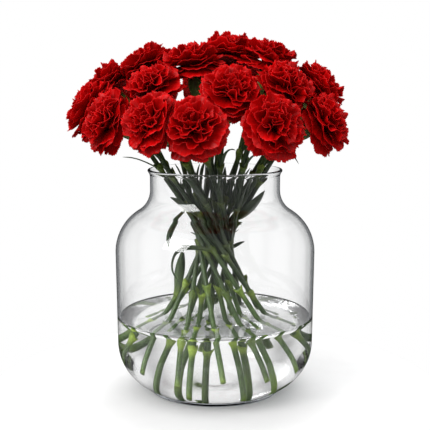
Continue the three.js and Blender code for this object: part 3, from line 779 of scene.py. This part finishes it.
stem_material, stem_tree = new_material("waxy_stem")
pale = node(stem_tree, "Attribute", attribute_name="pale").outputs["Fac"]
leafy = node(stem_tree, "Attribute", attribute_name="leafy").outputs["Fac"]
stem_place = node(stem_tree, "TexCoord").outputs["Object"]
stretch = node(stem_tree, "Mapping", {"Vector": stem_place, "Scale": (1, 1, 0.12)})
streaks = node(stem_tree, "TexNoise", {"Vector": stretch.outputs[0], "Scale": 900, "Detail": 3})
mottle = node(stem_tree, "TexNoise", {"Vector": stem_place, "Scale": 70, "Detail": 4})
green = ramp(stem_tree, mottle.outputs[0], STEM_GREENS)
wax = node(stem_tree, "MapRange", {"Value": streaks.outputs[0], "From Min": 0.35, "From Max": 0.75})
wax.inputs["To Max"].default_value = 0.45
waxed = node(stem_tree, "MixRGB", {"Fac": wax.outputs[0], "Color1": green, "Color2": WAX_GREEN})
grey = node(stem_tree, "Math", {0: leafy, 1: 0.35}, operation="MULTIPLY")
leaf_green = node(stem_tree, "MixRGB", {"Fac": grey.outputs[0], "Color1": waxed.outputs[0]})
leaf_green.inputs["Color2"].default_value = LEAF_GREEN
knob = ramp(stem_tree, mottle.outputs[0], JOINT_GREENS)
stem_colour = node(stem_tree, "MixRGB", {"Fac": pale, "Color1": leaf_green.outputs[0], "Color2": knob})
stem_height = node(stem_tree, "SeparateXYZ", {"Vector": stem_place}).outputs["Z"]
stem_share = node(stem_tree, "MapRange", {"Value": stem_height, **STEM_PAINTED_LIGHT_HEIGHTS})
painted_height_light = ramp(stem_tree, stem_share.outputs[0], STEM_PAINTED_LIGHT)
stem_tone = node(stem_tree, "Attribute", attribute_name="tone").outputs["Fac"]
painted_light_and_tone = node(stem_tree, "Math", {0: painted_height_light, 1: stem_tone}, operation="MULTIPLY")
stem_with_painted_light = node(stem_tree, "VectorMath", {0: stem_colour.outputs[0]}, operation="SCALE")
stem_tree.links.new(painted_light_and_tone.outputs[0], stem_with_painted_light.inputs["Scale"])
stem_bump = node(stem_tree, "Bump", {"Height": streaks.outputs[0], "Strength": 0.35, "Distance": 0.15 * MM})
stem_rough = node(stem_tree, "MapRange", {"Value": mottle.outputs[0], "To Min": 0.34, "To Max": 0.5})
stem_shader = node(stem_tree, "BsdfPrincipled", {"Base Color": stem_with_painted_light.outputs[0]})
stem_tree.links.new(stem_rough.outputs[0], stem_shader.inputs["Roughness"])
stem_tree.links.new(stem_bump.outputs[0], stem_shader.inputs["Normal"])
finish_material(stem_tree, stem_shader.outputs[0])

for index, run in enumerate(runs):
    growth = Growth()
    draw = seeded(STEM_SEED + index)
    grow_stem(growth, run, draw)
    for owner, *leaf in LEAVES:
        if owner == index + 1:
            grow_leaf(growth, run, *leaf)
    for joint in INNER_JOINTS:
        inwards = 180 + INNER_SPREAD * (draw() - 0.5)
        length, off, curl = 26 + 22 * draw(), 4 + 16 * draw(), 50 * draw()
        width, twist = 4 + 3 * draw(), 70 * draw()
        grow_leaf(growth, run, joint, inwards, length, off, curl, width, twist)
    grow_calyx(growth, run)
    number = f"{index + 1:02d}"
    points = np.vstack(growth.points)
    marks = {"pale": np.concatenate(growth.pale), "leafy": np.concatenate(growth.leafy)}
    marks["tone"] = np.full(len(points), 0.68 + 0.75 * draw())
    name, stem_node = "leafy_stem_" + number, "stem_" + number
    add_piece(name, points, growth.faces, stem_material, stem_node, marks)

# ---- Blooms ----
# A double carnation: some forty thin velvet petals on narrow claws, bundled in the calyx. Each opens to
# a ruffled fan with a toothed edge. The outer ones spread and droop, the inner ones stand crumpled.
BLOOM_SEED = 500
BLOOM_RADIUS = 36
PRESS_GAP = 0.85  # between a petal and the plane half-way to the next bloom
PRESS_SOFT = 2.4
PETAL_ROOT = np.array([4.6, 2])  # where an outer petal starts in the calyx: radius and height
ROOT_SHIFT = np.array([-3.2, 5])  # how far from there a petal in the middle of the bloom starts
PETAL_LIFT = np.array([1.5, 13])  # how an outer petal leaves the calyx, outwards and up
LIFT_SHIFT = np.array([-1, -3])
TIP_PULL = 15  # how far back from its tip an outer petal keeps the tip's direction
PULL_SHIFT = 3
PETAL_SIZES = (0.89, 0.09)  # least size, and how much that can grow
TIP_DRIFT = (4.5, 5)  # how far a petal's tip may stand from its place, outwards and up
RISE_DRIFT = 42  # degrees
PETAL_THICK = 0.4
PETAL_COLUMNS = 44
CLAW_WIDTH = 0.42  # of the fan's
LAYER_TURN = 2.4  # radians from one layer's first petal to the next one's
PETAL_ROWS = [0, 0.2, 0.36, 0.48, 0.58, 0.67, 0.75, 0.82, 0.88, 0.93, 0.97, 1]
TOOTH_DEPTH = 0.026  # of a petal's length
TOOTH_START = 0.86  # share of the way out where the teeth start
EDGE_BULGE = 0.025
EDGE_ROUND = 0.19  # how much shorter a petal is at its sides than in its middle
RUFFLE_START = 0.36
PLEAT = 0.42  # depth of the fine pleats that run down a petal
SNAKE = 0.3  # how far a ruffle winds sideways
FAN_LAP = (1.35, 0.4)  # a fan's width over its share of the round, at least, and how much that can grow
PETAL_LEAN = 0.3
# The petal's own red in the middle, with painted shade darkening the claw and a painted highlight
# brightening the edge.
PETAL_REDS_AND_PAINTED_LIGHT = [
    (0.0, (0.13, 0.0010, 0.0010)),
    (0.45, (0.28, 0.0004, 0.0006)),
    (0.9, (0.44, 0.0006, 0.0010)),
    (1.0, (0.58, 0.0012, 0.0020)),
]
# Layers of petals from the outside in: radius and height of the tips, degrees by which the tips rise,
# petals, depth of the ruffle, and waves across a petal
LAYERS = [
    (35, 0, -26, 6, 1.3, 1.1),
    (36, 8, -8, 6, 1.7, 1.4),
    (35, 17, 8, 6, 2.3, 1.6),
    (30, 25, 26, 6, 3.2, 1.8),
    (24, 30, 42, 6, 3.8, 1.9),
    (18, 32, 54, 5, 3.8, 1.9),
    (11.5, 34, 68, 4, 3.2, 1.8),
    (5.5, 34, 82, 3, 2.2, 1.4),
]


def press_planes(index):
    """The planes half-way to the neighbouring blooms: direction, and distance from the bloom's middle."""
    planes = []
    for other, run in enumerate(runs):
        away = run.centre - runs[index].centre
        apart = np.linalg.norm(away)
        if other != index and apart < 2.3 * BLOOM_RADIUS:
            planes.append((away / apart, apart / 2 - PRESS_GAP))
    return planes


def pressed(points, middle, planes):
    """Points pressed softly back behind each plane, so that neighbouring petals meet and don't cross."""
    for towards, limit in planes:
        distance = (points - middle) @ towards
        over = PRESS_SOFT * np.logaddexp(0, (distance - limit) / PRESS_SOFT)
        points = points - np.multiply.outer(over, towards)
    return points


def petal_line(tip_radius, tip_height, rise, draw):
    """The line down a petal's middle: four control points (radius, height) of a curve that leaves the
    calyx upright and ends at the tip with the given rise."""
    inward = 1 - tip_radius / BLOOM_RADIUS
    root = PETAL_ROOT + ROOT_SHIFT * inward
    lift = root + (PETAL_LIFT + LIFT_SHIFT * inward)
    size = PETAL_SIZES[0] + PETAL_SIZES[1] * draw()
    tip = np.array([tip_radius, tip_height]) * size
    tip = tip + np.array([(draw() - 0.5) * drift for drift in TIP_DRIFT])
    angle = math.radians(rise + (draw() - 0.5) * RISE_DRIFT)
    before = tip - np.array([math.cos(angle), math.sin(angle)]) * (TIP_PULL - PULL_SHIFT * inward)
    return root, lift, before, tip


def along_line(line, share):
    """Places on a petal's line, and the direction it takes there."""
    a, b, c, d = (np.multiply.outer(np.ones_like(share), p) for p in line)
    t = share[..., None]
    place = (1 - t) ** 3 * a + 3 * t * (1 - t) ** 2 * b + 3 * t**2 * (1 - t) * c + t**3 * d
    way = (1 - t) ** 2 * (b - a) + 2 * t * (1 - t) * (c - b) + t**2 * (d - c)
    return place, way / np.linalg.norm(way, axis=-1, keepdims=True)


def numbers(draw, count):
    """A row of draws."""
    return np.array([draw() for _ in range(count)])


def petal_outline(along, across, draw):
    """How far along the petal's line each point of the sheet lies. The fan's edge is round, bulges here
    and there, and is cut into teeth with one deeper tear."""
    columns = np.arange(PETAL_COLUMNS + 1)
    teeth = np.where(columns % 2 == 0, 1.0, 0.0)
    teeth = teeth * TOOTH_DEPTH * (0.4 + 0.9 * numbers(draw, PETAL_COLUMNS + 1))
    tear = np.exp(-((columns - PETAL_COLUMNS * draw()) ** 2) / 1.2)
    tear = tear * 4 * TOOTH_DEPTH * draw()
    bulge = EDGE_BULGE * np.cos(across * (2 + 2 * draw()) * math.pi + 6 * draw())
    reach = 1 - EDGE_ROUND * np.abs(across) ** 2.6 + bulge * along
    reach = reach - (teeth + tear)[None, :] * np.clip((along - TOOTH_START) / (1 - TOOTH_START), 0, 1)
    return along * reach


def petal(layer, bearing, loose, draw):
    """One petal as rows of points across a sheet, in the bloom's own frame, and its places."""
    tip_radius, tip_height, rise, count, depth, waves = layer
    depth = depth * loose
    line = petal_line(tip_radius, tip_height, rise, draw)
    along = np.array(PETAL_ROWS)[:, None]
    across = np.linspace(-1, 1, PETAL_COLUMNS + 1)[None, :]
    share = petal_outline(along, across, draw)
    place, way = along_line(line, share)

    # The ruffle stands off the line and grows towards the edge, with fine pleats on top.
    growth = np.clip((share - RUFFLE_START) / (1 - RUFFLE_START), 0, 1) ** 1.3
    beat = across * waves * math.pi * (0.85 + 0.3 * draw()) + draw() * 2 * math.pi
    beat = beat + (draw() - 0.5) * 2.4 * share
    pleat = across * (6 + 2 * draw()) * math.pi + draw() * 2 * math.pi
    fold = np.sin(beat) + 0.2 * np.sin(2 * beat + 6 * draw()) * share
    ruffle = growth * (depth * (0.7 + 0.6 * draw()) * fold + PLEAT * np.sin(pleat))
    ruffle = ruffle + depth * (draw() - 0.5) * growth * across
    radius = place[..., 0] - way[..., 1] * ruffle
    height = place[..., 1] + way[..., 0] * ruffle

    # Seen from above, the claw opens into the fan, winds with the ruffle and leans a little to one side.
    fan = np.clip((along - 0.1) / 0.7, 0, 1)
    fan = fan * fan * (3 - 2 * fan)
    spread = math.pi / count * (FAN_LAP[0] + FAN_LAP[1] * draw())
    winding = -SNAKE * depth / max(tip_radius, 9) * growth * np.sin(2 * beat)
    lean = (draw() - 0.5) * PETAL_LEAN
    turn = bearing + across * spread * (CLAW_WIDTH + (1 - CLAW_WIDTH) * fan) + winding + lean * share
    height = height + radius * lean * 0.4 * across * fan
    sheet = np.stack([radius * np.cos(turn), radius * np.sin(turn), height], 2)
    places = np.stack(np.broadcast_arrays((across + 1) / 2, along), 2)
    return sheet, places


def sheet_faces(rows, columns):
    """Faces of a thin closed petal: its upper side, its lower side and the edge between them."""
    n = columns + 1
    grid = np.arange((rows + 1) * n).reshape(rows + 1, n)
    a, b, c, d = grid[:-1, :-1], grid[:-1, 1:], grid[1:, 1:], grid[1:, :-1]
    upper = np.stack([a, b, c, d], 2).reshape(-1, 4)
    under = upper[:, ::-1] + grid.size
    border = np.concatenate([grid[0, :-1], grid[:-1, -1], grid[-1, :0:-1], grid[:0:-1, 0]])
    after = np.roll(border, -1)
    rim = np.stack([after, border, border + grid.size, after + grid.size], 1)
    return np.vstack([upper, under, rim])


def thick_sheet(sheet):
    """Both faces of a sheet, half a petal's thickness to either side."""
    down = np.gradient(sheet, axis=0)
    over = np.gradient(sheet, axis=1)
    normal = np.cross(over, down)
    normal /= np.maximum(np.linalg.norm(normal, axis=2, keepdims=True), 1e-9)
    half = PETAL_THICK / 2
    return np.vstack([(sheet + normal * half).reshape(-1, 3), (sheet - normal * half).reshape(-1, 3)])


# Velvet red: darkened down in the claw by painted shade, where it lies deep in the bloom, and brightened at
# the edge by a painted highlight, with fine veins that run down the petal and catch the light. Each petal
# has a tone of its own.
velvet_material, velvet_tree = new_material("red_petal")
petal_place = node(velvet_tree, "UVMap", uv_map="places").outputs[0]
way_out = node(velvet_tree, "SeparateXYZ", {"Vector": petal_place}).outputs["Y"]
petal_tone = node(velvet_tree, "Attribute", attribute_name="tone").outputs["Fac"]
vein_scale = node(velvet_tree, "Mapping", {"Vector": petal_place, "Scale": (46, 3, 1)})
veins = node(velvet_tree, "TexNoise", {"Vector": vein_scale.outputs[0], "Scale": 1, "Detail": 3})
bloom_place = node(velvet_tree, "TexCoord").outputs["Object"]
cloud = node(velvet_tree, "TexNoise", {"Vector": bloom_place, "Scale": 120})
red_with_painted_shade_and_highlight = ramp(velvet_tree, way_out, PETAL_REDS_AND_PAINTED_LIGHT)
vein_light = node(velvet_tree, "MapRange", {"Value": veins.outputs[0], "From Min": 0.3, "From Max": 0.7})
vein_light.inputs["To Min"].default_value = 0.82
vein_light.inputs["To Max"].default_value = 1.12
cloud_light = node(velvet_tree, "MapRange", {"Value": cloud.outputs[0], "From Min": 0.3, "From Max": 0.7})
cloud_light.inputs["To Min"].default_value = 0.9
cloud_light.inputs["To Max"].default_value = 1.08
petal_light = node(velvet_tree, "Math", {0: vein_light.outputs[0]}, operation="MULTIPLY")
velvet_tree.links.new(cloud_light.outputs[0], petal_light.inputs[1])
petal_light = node(velvet_tree, "Math", {0: petal_light.outputs[0], 1: petal_tone}, operation="MULTIPLY")
velvet_colour = node(velvet_tree, "VectorMath", {0: red_with_painted_shade_and_highlight}, operation="SCALE")
velvet_tree.links.new(petal_light.outputs[0], velvet_colour.inputs["Scale"])
velvet_bump = node(velvet_tree, "Bump", {"Height": veins.outputs[0], "Strength": 0.5, "Distance": 0.25 * MM})
velvet_rough = node(velvet_tree, "MapRange", {"Value": veins.outputs[0], "To Min": 0.3, "To Max": 0.46})
velvet = node(velvet_tree, "BsdfPrincipled", {"Base Color": velvet_colour.outputs[0], "Sheen Weight": 0.01})
velvet.inputs["Sheen Tint"].default_value = (1, 0.12, 0.14, 1)
velvet.inputs["Sheen Roughness"].default_value = 0.4
velvet.inputs["Specular IOR Level"].default_value = 0.17
velvet_tree.links.new(velvet_rough.outputs[0], velvet.inputs["Roughness"])
velvet_tree.links.new(velvet_bump.outputs[0], velvet.inputs["Normal"])
finish_material(velvet_tree, velvet.outputs[0])

petal_faces = sheet_faces(len(PETAL_ROWS) - 1, PETAL_COLUMNS)
for index, run in enumerate(runs):
    draw = seeded(BLOOM_SEED + index)
    start = draw() * 2 * math.pi
    loose = 0.75 + 0.55 * draw()  # how deeply this bloom is ruffled
    planes = press_planes(index)
    stand = np.array(Vector((0, 0, 1)).rotation_difference(Vector(run.axis)).to_matrix())
    calyx_rim = run.head + run.axis * CALYX_LENGTH
    points, faces, places, tones, first = [], [], [], [], 0
    for k, layer in enumerate(LAYERS):
        count = layer[3]
        for i in range(count):
            bearing = start + k * LAYER_TURN + (i + 0.35 * (draw() - 0.5)) * 2 * math.pi / count
            sheet, place = petal(layer, bearing, loose, draw)
            sheet = pressed(sheet @ stand.T + calyx_rim, run.centre, planes)
            both = thick_sheet(sheet)
            points.append(both)
            faces.append(petal_faces + first)
            places.append(np.vstack([place.reshape(-1, 2)] * 2))
            tones.append(np.full(len(both), 0.88 + 0.24 * draw()))
            first += len(both)
    number = f"{index + 1:02d}"
    marks = {"tone": np.concatenate(tones)}
    skin, corners = np.vstack(points), np.vstack(faces).tolist()
    name = "petals_of_bloom_" + number
    add_piece(name, skin, corners, velvet_material, "bloom_" + number, marks, np.vstack(places))
